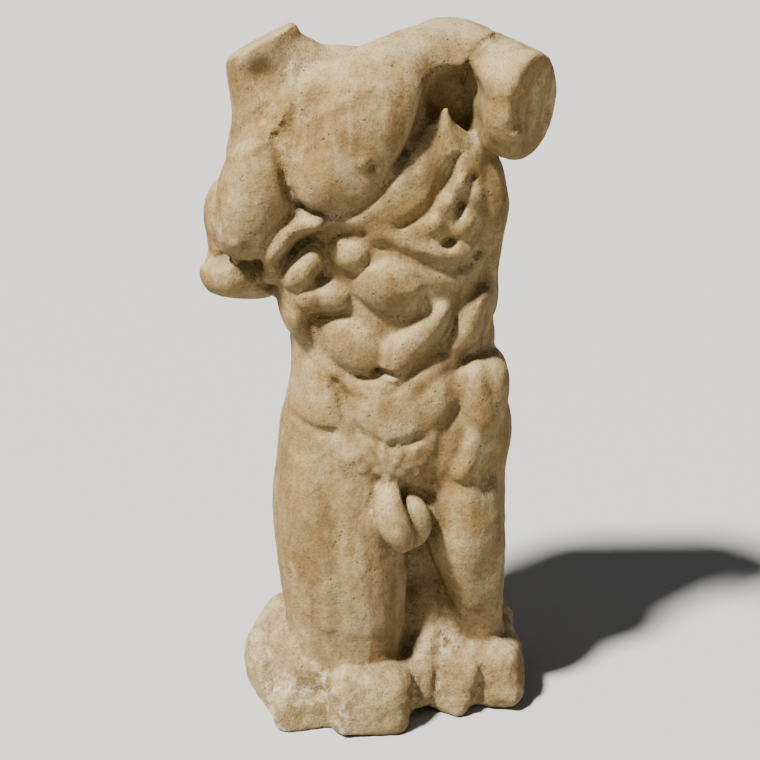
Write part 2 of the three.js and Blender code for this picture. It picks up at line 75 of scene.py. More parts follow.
class Clay:  # a signed distance on a grid in mm, negative inside, joined and cut form by form
    def __init__(self, low, high, step):
        self.lo, self.h = np.array(low, float), step
        count = np.ceil((np.array(high) - self.lo) / step).astype(int) + 1
        self.axes = [(self.lo[i] + step * np.arange(count[i])).astype(np.float32) for i in range(3)]
        self.f = np.full(count, 1000.0, np.float32)

    def near(self, low, high):  # the part of the grid inside a box
        first = np.clip(((low - self.lo) // self.h).astype(int), 0, None)
        last = np.minimum(((high - self.lo) // self.h).astype(int) + 2, self.f.shape)
        part = tuple(slice(a, max(a, b)) for a, b in zip(first, last))
        x, y, z = [self.axes[i][part[i]] for i in range(3)]
        return part, x[:, None, None], y[None, :, None], z[None, None, :]

    def join(self, part, d, soft, cut):
        f = self.f[part]
        d = -d if cut else d
        fillet = np.maximum(soft - np.abs(f - d), 0) ** 2 / (4 * soft)
        self.f[part] = np.maximum(f, d) + fillet if cut else np.minimum(f, d) - fillet

    def egg(self, centre, half, turn=None, soft=10, cut=False, power=2.0):
        centre, half = np.array(centre, float), np.array(half, float)
        turn = turning() if turn is None else turn
        reach = np.sqrt(((turn * half) ** 2).sum(1)) * (1.25 if power > 2 else 1) + soft + 2 * self.h
        part, x, y, z = self.near(centre - reach, centre + reach)
        x, y, z = x - centre[0], y - centre[1], z - centre[2]
        q = [np.abs(x * turn[0, i] + y * turn[1, i] + z * turn[2, i]) / half[i] for i in range(3)]
        size = sum(v**power for v in q) ** (1 / power) + 1e-9
        slope = np.sqrt(sum((q[i] ** (power - 1) / half[i]) ** 2 for i in range(3))) * size ** (1 - power)
        self.join(part, (size - 1) / (slope + 1e-9), soft, cut)

    def limb(self, points, soft=5, steps=6, cut=False, plane=None):
        path = smoothCurve(points, steps)
        grow = soft + 2 * self.h
        part, x, y, z = self.near((path[:, :3] - path[:, 3:]).min(0) - grow, (path[:, :3] + path[:, 3:]).max(0) + grow)
        best = 1e6
        for a, b in zip(path[:-1], path[1:]):
            run = b[:3] - a[:3]
            t = (x - a[0]) * run[0] + (y - a[1]) * run[1] + (z - a[2]) * run[2]
            t = np.clip(t / max(run @ run, 1e-9), 0, 1)
            gap = [(v - a[i] - t * run[i]) ** 2 for i, v in enumerate((x, y, z))]
            best = np.minimum(best, np.sqrt(sum(gap)) - a[3] - t * (b[3] - a[3]))
        if plane:  # a cut face with a rounded edge
            point, normal, rounding = plane
            n = np.array(normal) / np.linalg.norm(normal)
            face = (x - point[0]) * n[0] + (y - point[1]) * n[1] + (z - point[2]) * n[2]
            best = np.maximum(best, face) + np.maximum(rounding - np.abs(best - face), 0) ** 2 / (4 * rounding)
        self.join(part, best, soft, cut)

    def block(self, centre, half, yaw=0, roll=0, pitch=0, rounding=6, soft=6, cut=False):
        centre, half = np.array(centre, float), np.array(half, float)
        turn = turning(yaw, roll, pitch)
        reach = np.sqrt(((turn * half) ** 2).sum(1)) * 1.5 + soft + 2 * self.h
        part, x, y, z = self.near(centre - reach, centre + reach)
        x, y, z = x - centre[0], y - centre[1], z - centre[2]
        q = [np.abs(x * turn[0, i] + y * turn[1, i] + z * turn[2, i]) - half[i] + rounding for i in range(3)]
        outside = np.sqrt(sum(np.maximum(v, 0) ** 2 for v in q))
        inside = np.minimum(np.maximum(np.maximum(q[0], q[1]), q[2]), 0)
        self.join(part, outside + inside - rounding, soft, cut)

    def sample(self, points):  # between grid samples, blended along each axis
        g = np.clip((np.asarray(points) - self.lo) / self.h, 0, np.array(self.f.shape) - 1.001)
        i = g.astype(int)
        t = g - i
        total = 0
        for corner in np.ndindex(2, 2, 2):
            weight = np.prod([t[..., n] if c else 1 - t[..., n] for n, c in enumerate(corner)], axis=0)
            total = total + weight * self.f[i[..., 0] + corner[0], i[..., 1] + corner[1], i[..., 2] + corner[2]]
        return total

    def skin(self, across, z, face):  # the first clay a level line meets; face 0 is the front, 180 the back
        n = np.array([np.sin(np.radians(face)), -np.cos(np.radians(face)), 0])
        side = np.array([-n[1], n[0], 0])
        t = np.arange(250, -250, -1.0)
        line = side * across + n * t[:, None] + [0, 0, z]
        f = self.sample(line)
        first = np.argmax(f < 0) if (f < 0).any() else np.argmin(f)
        return line[first], n

    def muscle(self, across, z, size, slope=0, soft=8, face=0, steep=0.5):  # size is half length, half width, height
        point, n = self.skin(across, z, face)
        thick = size[2] / (1 - steep)
        grow = 1 / np.sqrt(1 - steep**2)
        self.egg(point - n * steep * thick, (size[0] * grow, thick, size[1] * grow), turning(face, -slope), soft)

    def cord(self, points, sink=0, soft=5, face=0, cut=False):  # each point is across, up and radius
        laid = []
        for across, z, radius in points:
            point, n = self.skin(across, z, face)
            laid.append([*(point - n * sink), radius])
        self.limb(laid, soft, 5, cut)


class Relief:  # a height over (across, up) that is laid on one face of the clay
    def __init__(self, clay, face):
        self.clay, self.side = clay, 1 if face == 0 else -1
        self.u, self.z = np.meshgrid(clay.axes[0] * self.side, clay.axes[2], indexing="ij")
        self.m = np.zeros_like(self.u)

    def oval(self, u, z, half, slope):
        c, s = np.cos(np.radians(slope)), np.sin(np.radians(slope))
        du, dz = self.u - u, self.z - z
        return np.hypot((du * c + dz * s) / half[0], (dz * c - du * s) / half[1])

    def along(self, points):
        path = smoothCurve(points, 6)
        best = np.full_like(self.u, 1e6)
        for a, b in zip(path[:-1], path[1:]):
            run = b[:2] - a[:2]
            t = np.clip(((self.u - a[0]) * run[0] + (self.z - a[1]) * run[1]) / max(run @ run, 1e-9), 0, 1)
            gap = np.hypot(self.u - a[0] - t * run[0], self.z - a[1] - t * run[1])
            best = np.minimum(best, gap / (a[2] + t * (b[2] - a[2])))
        return best

    def hill(self, distance, height, power):
        return height * np.maximum(1 - distance**2, 0) ** power

    def pad(self, u, z, half, height=15, slope=0, power=0.6):
        self.m = np.maximum(self.m, self.hill(self.oval(u, z, half, slope), height, power))

    def strap(self, points, height, power=0.8):
        self.m = np.maximum(self.m, self.hill(self.along(points), height, power))

    def ridge(self, points, height, power=1.5):  # a groove when the height is negative
        self.m = self.m + self.hill(self.along(points), height, power)

    def spot(self, u, z, half, height, slope=0, power=1.5):
        self.m = self.m + self.hill(self.oval(u, z, half, slope), height, power)

    def soften(self, width):
        reach = np.arange(-4, 5)
        weight = np.exp(-0.5 * (reach * self.clay.h / width) ** 2)
        weight /= weight.sum()
        for axis in (0, 1):
            self.m = sum(w * np.roll(self.m, s, axis) for w, s in zip(weight, reach))

    def lay(self, start, end, depth=34):  # only on clay close behind the first skin met
        y = self.clay.axes[1] * self.side
        f = self.clay.f if self.side == 1 else self.clay.f[:, ::-1]
        y = y if self.side == 1 else y[::-1]
        solid = f < 0
        first = np.where(solid.any(1), y[np.argmax(solid, axis=1)], 1e3)
        share = ramp((y - start) / (end - start))[None, :, None]
        share = share * ramp((first[:, None, :] + depth - y[None, :, None]) / 8)
        f -= (share * self.m[:, None, :]).astype(np.float32)


def buildMasses(c):
    c.egg((17, 6, 314), (117, 80, 92), soft=1)
    c.egg((13, 6, 414), (106, 64, 96), soft=30)
    c.egg((-2, 8, 530), (118, 74, 116), turning(-22, -6), soft=34)
    c.egg((-28, 16, 618), (116, 58, 60), turning(0, -18), soft=26)
    c.limb([(-104, -6, 628, 30), (-66, -22, 652, 32), (-16, -28, 674, 32), (36, -20, 692, 34), (76, -8, 698, 32)], soft=22)
    c.limb([(-50, 24, 660, 44), (0, 24, 662, 42), (60, 16, 680, 46)], soft=18, steps=8)


def buildNeck(c):
    top = ((-122, 0, 708), (-0.46, -0.03, 0.89), 8)
    c.limb([(-94, 12, 626, 50), (-111, 4, 690, 39), (-122, 0, 750, 35)], soft=20, steps=12, plane=top)
    c.egg((-80, 8, 690), (25, 30, 22), soft=14)
    c.egg((-114, -56, 678), (30, 32, 27), turning(0, -28), soft=8, cut=True)
    c.egg((-110, -58, 652), (13, 22, 22), turning(0, 12), soft=10, cut=True)


def buildArms(c):
    leftCut = ((143, -60, 656), (0.84, -0.53, -0.1), 7)
    c.limb([(60, 14, 686, 42), (100, -12, 672, 50), (132, -48, 657, 52)], soft=12, steps=10, plane=leftCut)
    c.egg((-112, 32, 572), (42, 44, 62), turning(0, -12), soft=24)
    c.egg((-150, 8, 536), (28, 42, 42), turning(0, -4), soft=5)
    rightCut = ((-142, -14, 462), (-0.06, -0.42, -0.90), 8)
    c.limb([(-142, 8, 520, 30), (-144, -4, 484, 34), (-142, -10, 450, 35)], soft=6, steps=8, plane=rightCut)
    c.egg((-154, -32, 486), (26, 22, 21), turning(0, 12), soft=5)


def buildThighs(c):
    c.limb([(-42, 0, 310, 58), (-46, -8, 240, 68), (-42, -14, 160, 66), (-38, -18, 80, 60)], soft=26, steps=12)
    c.limb([(-62, -24, 290, 30), (-62, -32, 230, 40), (-56, -36, 150, 42), (-46, -36, 80, 38)], soft=20, steps=10)
    c.limb([(-20, -28, 290, 26), (-14, -36, 220, 38), (-14, -38, 150, 40), (-18, -38, 80, 38)], soft=20, steps=10)
    c.limb([(78, 14, 310, 58), (90, 18, 250, 46), (96, 18, 170, 41), (100, 14, 80, 36)], soft=22, steps=12)
    c.limb([(80, -18, 296, 30), (85, -24, 244, 42), (92, -24, 196, 42), (102, -16, 146, 33), (108, -8, 84, 27)], soft=10, steps=10)
    c.egg((40, 24, 150), (54, 36, 150), soft=12)  # web of stone left between the thighs
    c.egg((46, -2, 74), (30, 36, 56), soft=18)


def buildBack(c):
    c.cord([(28, 500, 20), (24, 430, 26), (30, 370, 20)], sink=17, soft=20, face=180)
    c.cord([(-46, 520, 20), (-40, 440, 26), (-36, 372, 20)], sink=17, soft=20, face=180)
    c.muscle(86, 604, (54, 34, 12), slope=70, soft=16, face=180)
    c.muscle(-46, 606, (56, 36, 12), slope=-62, soft=16, face=180)
    c.muscle(46, 294, (50, 50, 22), slope=14, soft=18, face=180)
    c.muscle(-70, 300, (54, 48, 20), slope=-12, soft=18, face=180)


def buildChest(c):
    c.egg((38, -38, 566), (92, 35, 50), turning(14, 10, -6), soft=8)
    c.limb([(86, -18, 624, 14), (101, -24, 590, 19), (104, -22, 548, 21), (102, -12, 500, 19), (102, -4, 450, 18)], soft=8, steps=8)
    c.egg((-24, -42, 622), (96, 48, 52), turning(-10, -56, -6), soft=18, power=2.2)
    c.egg((-50, -52, 586), (38, 36, 28), turning(-10, -40), soft=14)
    c.egg((-114, -30, 572), (69, 50, 43), turning(-20, -74), soft=7)
    c.egg((-131, -46, 537), (34, 32, 25), turning(-24, -66), soft=14)
    c.egg((74, -34, 606), (26, 22, 36), soft=14)
    c.egg((70, -66, 664), (30, 54, 26), turning(0, -44), soft=10, cut=True)
    c.egg((80, -60, 638), (17, 50, 34), turning(0, -6), soft=7, cut=True)
    c.egg((48, -84, 626), (16, 40, 46), turning(20, 14), soft=12, cut=True)
    c.limb([(-6, -60, 570, 14), (16, -54, 584, 20), (38, -50, 600, 22), (52, -46, 618, 17), (60, -46, 636, 9), (62, -48, 650, 4)], soft=10)
    c.egg((68, -36, 600), (26, 22, 38), turning(0, -10), soft=12)
    c.egg((88, -26, 584), (20, 20, 40), soft=10)
    c.egg((-80, -18, 466), (24, 38, 46), soft=12)


def buildLoins(c):
    c.egg((102, -14, 362), (31, 46, 42), turning(0, 2), soft=5, power=2.8)
    c.egg((6, -58, 304), (46, 22, 34), soft=8)
    c.egg((4, -64, 238), (20, 21, 26), soft=6)
    c.egg((32, -66, 232), (22, 23, 28), soft=10)
    c.limb([(8, -70, 270, 12), (10, -86, 256, 14.5), (16, -93, 238, 15.5), (23, -90, 224, 14)], soft=3)


def buildRocks(c):
    c.block((-44, 18, 34), (74, 80, 38), yaw=6, rounding=28, soft=5)
    c.egg((-108, -14, 36), (40, 62, 52), turning(20), soft=8)
    c.egg((-106, 22, 58), (28, 48, 40), turning(0, -14), soft=10)
    c.block((-76, -50, 16), (44, 44, 24), yaw=12, rounding=14, soft=12)
    c.limb([(-114, -10, 90, 12), (-104, -42, 78, 16), (-86, -64, 62, 14), (-62, -74, 54, 12)], soft=10, steps=5)
    c.block((-12, -58, 30), (44, 50, 38), yaw=3, roll=3, pitch=-5, rounding=20, soft=6)
    c.egg((-8, -66, 34), (40, 42, 34), soft=10)
    c.block((98, 22, 34), (54, 74, 42), yaw=-4, rounding=28, soft=6)
    c.limb([(54, -32, 84, 10), (48, -46, 60, 17), (42, -56, 24, 18)], soft=12, steps=4)
    c.limb([(70, -18, 70, 18), (74, -36, 44, 18), (76, -40, 10, 18)], soft=14, steps=4)
    c.limb([(-128, -24, 84, 3), (-124, -58, 48, 6), (-112, -78, 8, 5)], soft=8, steps=5, cut=True)
    c.block((-76, -92, 50), (17, 9, 15), yaw=12, rounding=4, soft=4, cut=True)
    c.block((88, -38, 30), (20, 28, 34), yaw=-22, roll=14, pitch=-10, rounding=8, soft=7)
    c.block((133, -24, 34), (24, 34, 34), yaw=-8, roll=-8, pitch=-6, rounding=16, soft=5)


def carveFront(r):
    # stomach pads
    r.pad(-31, 515, (21, 18), 15)
    r.pad(5, 484, (32, 26), 17)
    r.strap([(12, 485, 19), (24, 484, 14), (34, 482, 7)], 15, 0.7)
    r.pad(-57, 468, (28, 18), 16, slope=-6)
    r.pad(-76, 500, (28, 19), 21, slope=44)
    r.pad(-34, 419, (40, 28), 17, slope=-28)
    # flank horns
    r.strap([(12, 396, 14), (20, 412, 20), (38, 428, 18), (54, 442, 15), (62, 456, 10)], 15, 0.7)
    r.strap([(76, 418, 9), (86, 429, 17), (98, 446, 18), (106, 466, 11)], 14, 0.7)
    # waist strap, belly and hip
    r.strap([(-86, 448, 9), (-80, 430, 12), (-64, 405, 12), (-41, 386, 11), (-10, 371, 10), (20, 371, 10), (50, 391, 12), (74, 406, 10)], 8, 0.8)
    r.pad(8, 354, (46, 32), 9, power=0.7)
    r.pad(58, 368, (40, 24), 9, slope=50, power=0.8)
    r.pad(-68, 368, (46, 36), 9, slope=80, power=0.7)
    r.strap([(94, 390, 14), (98, 362, 16), (104, 336, 15), (96, 306, 14), (82, 284, 10)], 9, 0.9)
    # rib arch and the rim of the rib cage side
    r.strap([(-60, 547, 10), (-74, 541, 13), (-88, 527, 15), (-101, 508, 15), (-109, 488, 13)], 15, 0.9)
    r.strap([(-50, 551, 12), (-34, 550, 13), (-10, 536, 14), (16, 522, 15), (52, 514, 14), (84, 516, 12)], 3.5, 1.2)
    # thighs
    r.ridge([(90, 284, 26), (91, 225, 30), (94, 182, 28), (94, 130, 24)], 5, 2)
    r.ridge([(-78, 290, 18), (-68, 240, 20), (-60, 180, 18), (-54, 120, 14)], 4, 2)
    r.ridge([(-40, 270, 20), (-34, 200, 22), (-30, 120, 18)], 3, 2)
    r.ridge([(-22, 262, 26), (-14, 200, 30), (-6, 120, 26)], 4, 2)
    r.spot(110, 268, (11, 16), -6)
    for u, z, half, height in (
        (-84, 250, (7, 60), 2.5), (-44, 232, (8, 80), -2.5), (-66, 170, (8, 70), -2),
        (-16, 180, (7, 70), 2), (76, 210, (5, 50), -3),
    ):
        r.spot(u, z, half, height, 4, 1)
    # grooves
    r.ridge([(2, 524, 9), (28, 514, 11), (54, 505, 12), (72, 501, 11), (88, 504, 8)], -8)
    r.ridge([(-58, 536, 4), (-72, 526, 6), (-86, 510, 6), (-96, 488, 5)], -2)
    r.ridge([(-100, 628, 5), (-95, 610, 7), (-91, 592, 7), (-86, 574, 7), (-74, 560, 6)], -5)
    r.ridge([(-76, 562, 6), (-58, 556, 8), (-34, 558, 9), (-10, 570, 9), (8, 590, 8), (24, 614, 5)], -7)
    r.ridge([(-62, 436, 5), (-58, 420, 6), (-46, 403, 7), (-18, 390, 7)], -4)
    r.ridge([(-44, 380, 9), (-27, 340, 10), (-10, 306, 10), (0, 280, 8)], -6)
    r.ridge([(76, 352, 8), (67, 334, 10), (60, 306, 10), (50, 276, 8)], -4)
    r.ridge([(-88, 338, 6), (-66, 331, 7), (-42, 329, 6)], -5)
    r.ridge([(-22, 334, 7), (10, 321, 8), (44, 326, 7)], -4)
    r.ridge([(70, 600, 8), (57, 577, 9), (44, 560, 9), (20, 545, 7)], -7)
    r.ridge([(-156, 560, 4), (-154, 540, 6), (-148, 520, 7), (-134, 504, 6)], -3)
    r.soften(2.0)
    # hollows and knobs beside the rib cage
    for u, z, half, height, slope in (
        (77, 584, (13, 10), 6, 40), (64, 565, (13, 10), 6, 50), (53, 546, (14, 10), 6, 40),
        (83, 542, (13, 10), 6, 60), (94, 570, (10, 12), 5, 0), (77, 560, (11, 7), -12, 60),
        (67, 527, (10, 8), -13, 0), (94, 512, (8, 7), -8, 0), (-16, 537, (5, 5), -5, 0),
        (72, 608, (9, 6), -5, 30), (88, 588, (8, 5), -6, 20),
    ):
        r.spot(u, z, half, height, slope, 1.2)
    r.spot(6, 394, (17, 6), -13, power=0.9)
    r.ridge([(-16, 384, 5), (6, 380, 7), (30, 388, 5)], 3)
    # nipples
    r.spot(-15, 608, (9, 8), 4, power=0.9)
    r.spot(-8, 604, (6, 5), -6, power=1)
    r.spot(-138, 528, (7, 7), 4, power=0.8)
    # collar bones and neck cords
    r.ridge([(-100, 630, 4), (-88, 646, 11), (-70, 668, 13), (-54, 690, 4)], 2.4, 2)
    r.ridge([(-74, 638, 2), (-38, 660, 9), (-6, 678, 2)], 1.6, 2)
    r.ridge([(-104, 626, 3), (-128, 616, 10), (-150, 606, 3)], 2.4, 2)
    r.ridge([(-122, 674, 3), (-110, 656, 7), (-101, 634, 3)], 5, 2)
    r.ridge([(-82, 690, 4), (-86, 664, 9), (-96, 640, 4)], 4, 2)
    # arm stumps
    r.ridge([(80, 674, 4), (86, 697, 7), (98, 711, 7), (120, 717, 6), (142, 712, 4)], -4.5)
    r.ridge([(-180, 506, 7), (-164, 500, 8), (-150, 506, 7)], -5)
    r.spot(129, 634, (9, 8), 5, power=1)
    r.spot(110, 684, (24, 22), 6)
    # curls
    for i in range(20):
        turn, out = 2.4 * i, 8.6 * np.sqrt(i + 0.5)
        r.spot(10 + 1.05 * out * np.cos(turn), 304 + 0.6 * out * np.sin(turn), (8, 5), 2.2, 57 * turn, 1)


def carveBack(r):
    r.ridge([(80, 640, 18), (36, 580, 22), (8, 520, 24), (-8, 460, 24), (-10, 390, 22), (-6, 336, 18)], -9)
    r.ridge([(-6, 330, 10), (-4, 290, 14), (-4, 250, 14)], -14)
    r.ridge([(60, 236, 34), (56, 170, 38), (46, 116, 32)], 6)
    r.ridge([(-90, 236, 30), (-92, 170, 34), (-92, 116, 28)], 6)
    r.soften(2.2)


def buildTorso(step):
    c = Clay(lowCorner, highCorner, step)
    for build in (buildMasses, buildNeck, buildArms, buildThighs, buildBack, buildChest, buildLoins):
        build(c)
    front = Relief(c, 0)
    carveFront(front)
    front.lay(10, -12)
    back = Relief(c, 180)
    carveBack(back)
    back.lay(0, -24)
    body = Clay(lowCorner, highCorner, step)
    body.f = c.f.copy()
    buildRocks(c)
    return c, body


def netSurface(f, low, step):  # a corner at the mean of each cell's edge crossings, a face over each crossed grid edge
    solid = f < 0
    cells = np.array(f.shape) - 1

    def shifted(values, start):
        return values[tuple(slice(s, s + n) for s, n in zip(start, cells))]

    count = sum(shifted(solid, s).astype(np.int8) for s in np.ndindex(2, 2, 2))
    crossed = (count > 0) & (count < 8)
    number = np.full(crossed.shape, -1)
    number[crossed] = np.arange(crossed.sum())
    total, hits = np.zeros((crossed.sum(), 3)), np.zeros(crossed.sum())
    for axis in range(3):
        for start in np.ndindex(2, 2, 2):
            if start[axis]:
                continue
            ahead = np.array(start) + np.eye(3, dtype=int)[axis]
            f0, f1 = shifted(f, start)[crossed], shifted(f, ahead)[crossed]
            cut = (f0 < 0) != (f1 < 0)
            point = np.tile(np.array(start, float), (len(f0), 1))
            point[:, axis] = np.where(cut, f0 / np.where(cut, f0 - f1, 1), 0)
            total[cut] += point[cut]
            hits[cut] += 1
    corners = low + step * (np.argwhere(crossed) + total / hits[:, None])
    faces = []
    for axis in range(3):
        one, two = np.eye(3, dtype=int)[(axis + 1) % 3], np.eye(3, dtype=int)[(axis + 2) % 3]
        behind = solid[tuple(slice(0, -1) if i == axis else slice(1, -1) for i in range(3))]
        front = solid[tuple(slice(1, None) if i == axis else slice(1, -1) for i in range(3))]
        at = np.argwhere(behind != front) + one + two
        around = [number[tuple((at - a).T)] for a in (one + two, two, 0 * one, one)]
        quads = np.stack(around, 1)
        outward = solid[tuple(at.T)]
        faces.append(np.where(outward[:, None], quads, quads[:, ::-1]))
    return corners, np.vstack(faces)


def largestPiece(corners, faces):  # crumbs that don't touch the body are dropped
    label = np.arange(len(corners))
    while True:
        low = label[faces].min(1)
        new = label.copy()
        np.minimum.at(new, faces.ravel(), np.repeat(low, 4))
        new = new[new]
        if (new == label).all():
            break
        label = new
    keep = label == np.bincount(label).argmax()
    number = np.cumsum(keep) - 1
    return corners[keep], number[faces[keep[faces[:, 0]]]]


def pointNormals(corners, faces):  # area-weighted: the cross product of each face's diagonals, summed at its corners
    a, b, c, d = [corners[faces[:, i]] for i in range(4)]
    across = np.cross(c - a, d - b)
    n = np.zeros_like(corners)
    for i in range(4):
        for k in range(3):
            n[:, k] += np.bincount(faces[:, i], across[:, k], len(corners))
    return n / np.maximum(np.linalg.norm(n, axis=1), 1e-12)[:, None]


def grain(points, size, seed):  # smooth random heights from -1 to 1, one value at each lattice point size mm apart
    values = np.random.default_rng(seed).uniform(-1, 1, (64, 64, 64))
    g = points / size + 1000.37
    i = np.floor(g).astype(int)
    t = ramp(g - i)
    total = 0
    for corner in np.ndindex(2, 2, 2):
        weight = np.prod([t[:, n] if c else 1 - t[:, n] for n, c in enumerate(corner)], axis=0)
        at = (i + corner) % 64
        total = total + weight * values[at[:, 0], at[:, 1], at[:, 2]]
    return total


surface = {
    "bodySwell": 0.7,  # mm, slow unevenness left by the rasp
    "bodyTooling": 0.4,
    "crumbs": 0.7,  # mm more in the creases
    "rockSwell": 2.6,  # mm, rough-hewn base
    "rockTooling": 1.5,
    "hollowReach": 8,  # mm, how far out the crease grime with painted shade, and the chalk, look for a hollow
}


def makeTorso(spec):
    clay, bodyClay = buildTorso(gridStep)
    clay.f = np.maximum(clay.f, -clay.axes[2][None, None, :])
    clay.f[:, :, 0] = 5
    corners, faces = largestPiece(*netSurface(clay.f, clay.lo, clay.h))
    print("skin:", len(corners), "corners,", 2 * len(faces), "triangles")
    normals = pointNormals(corners, faces)
    rock = ramp(bodyClay.sample(corners) / 9)
    wide, fine = grain(corners, 26, 3), grain(corners, 7, 4)
    swell = spec["bodySwell"] * (1 - rock) + spec["rockSwell"] * rock
    tooling = spec["bodyTooling"] * (1 - rock) + spec["rockTooling"] * rock
    reach = spec["hollowReach"]
    hollow = np.clip(1 - clay.sample(corners + normals * reach) / reach, 0, 1.5)
    tooling = tooling + spec["crumbs"] * ramp(hollow / 0.5)
    lift = (wide * swell + fine * tooling) * ramp(corners[:, 2] / 8)
    corners = corners + normals * lift[:, None]
    deep = np.clip(1 - clay.sample(corners + normals * 26) / 26, 0, 1.5)
    crest = np.clip(1 + clay.sample(corners - normals * reach) / reach, 0, 1.5)
    return corners, faces, {"hollow": hollow, "deep": deep, "crest": crest, "rock": rock}


def putInBlender(name, corners, faces, marks):
    mesh = bpy.data.meshes.new(name)
    mesh.vertices.add(len(corners))
    mesh.vertices.foreach_set("co", corners.astype(np.float32).ravel())
    mesh.loops.add(faces.size)
    mesh.loops.foreach_set("vertex_index", faces.astype(np.int32).ravel())
    mesh.polygons.add(len(faces))
    mesh.polygons.foreach_set("loop_start", np.arange(0, faces.size, 4, dtype=np.int32))
    mesh.polygons.foreach_set("use_smooth", np.ones(len(faces), bool))
    mesh.update(calc_edges=True)
    mesh.validate()
    for mark, values in marks.items():
        layer = mesh.attributes.new(mark, "FLOAT", "POINT")
        layer.data.foreach_set("value", values.astype(np.float32))
    piece = bpy.data.objects.new(name, mesh)
    bpy.context.collection.objects.link(piece)
    return piece


corners, faces, marks = makeTorso(surface)
boxLow, boxHigh = [np.array(v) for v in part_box("torso")]
rawLow, rawHigh = corners.min(0) * mm, corners.max(0) * mm
fit = (boxHigh - boxLow) / (rawHigh - rawLow)  # within a few thousandths of 1
place = boxLow - rawLow * fit
torso = putInBlender("carvedTorso", corners * mm * fit + place, faces, marks)
print("torso made, fitted by", fit.round(4), "placed at", place.round(4))


class Wire:  # a socket that can take part in sums
    def __init__(self, tree, socket=None):
        self.tree, self.socket = tree, socket

    def make(self, kind, settings, inputs, output=0):  # any node: its settings first, then its sockets
        node = self.tree.nodes.new(kind)
        for name, value in settings.items():
            if name == "stops":
                band = node.color_ramp.elements
                for at, colour in value[1:-1]:
                    band.new(at).color = colour
                for stop, end in ((value[0], 0), (value[-1], len(band) - 1)):
                    band[end].position, band[end].color = stop
            else:
                setattr(node, name, value)
        for name, value in inputs.items():
            if isinstance(value, Wire):
                self.tree.links.new(value.socket, node.inputs[name])
            else:
                node.inputs[name].default_value = value
        return Wire(self.tree, node.outputs[output])

    def math(self, operation, first, second):
        return self.make("ShaderNodeMath", {"operation": operation}, {0: first, 1: second})

    def __add__(self, other):
        return self.math("ADD", self, other)

    def __radd__(self, other):
        return self.math("ADD", other, self)

    def __sub__(self, other):
        return self.math("SUBTRACT", self, other)

    def __rsub__(self, other):
        return self.math("SUBTRACT", other, self)

    def __mul__(self, other):
        return self.math("MULTIPLY", self, other)

    def __rmul__(self, other):
        return self.math("MULTIPLY", other, self)

    def between(self, low, high):  # 0 below low, 1 above high, eased
        return self.make("ShaderNodeMapRange", {"interpolation_type": "SMOOTHSTEP"}, {"Value": self, "From Min": low, "From Max": high})

    def noise(self, where, scale, detail=3, roughness=0.55):
        return self.make("ShaderNodeTexNoise", {}, {"Vector": where, "Scale": scale, "Detail": detail, "Roughness": roughness})

    def blend(self, share, first, second, kind="MIX"):  # colours only
        return self.make("ShaderNodeMix", {"data_type": "RGBA", "blend_type": kind}, {0: share, 6: first, 7: second}, 2)


stone = {
    "tan": (0.245, 0.172, 0.078, 1),
    "ochre": (0.235, 0.150, 0.050, 1),
    "rust": (0.165, 0.095, 0.034, 1),
    "cream": (0.44, 0.35, 0.185, 1),
    "chalk": (0.62, 0.54, 0.39, 1),
    "dusk": (0.215, 0.142, 0.095, 1),  # faint pink
    # painted shade colour, laid in deep recesses and on downward-facing surfaces
    "shadeOlive": (0.115, 0.090, 0.028, 1),
    # near-black, for pits and for crease grime with painted crease shade
    "grimeAndShade": (0.05, 0.034, 0.018, 1),
    "roughness": 0.82,
}


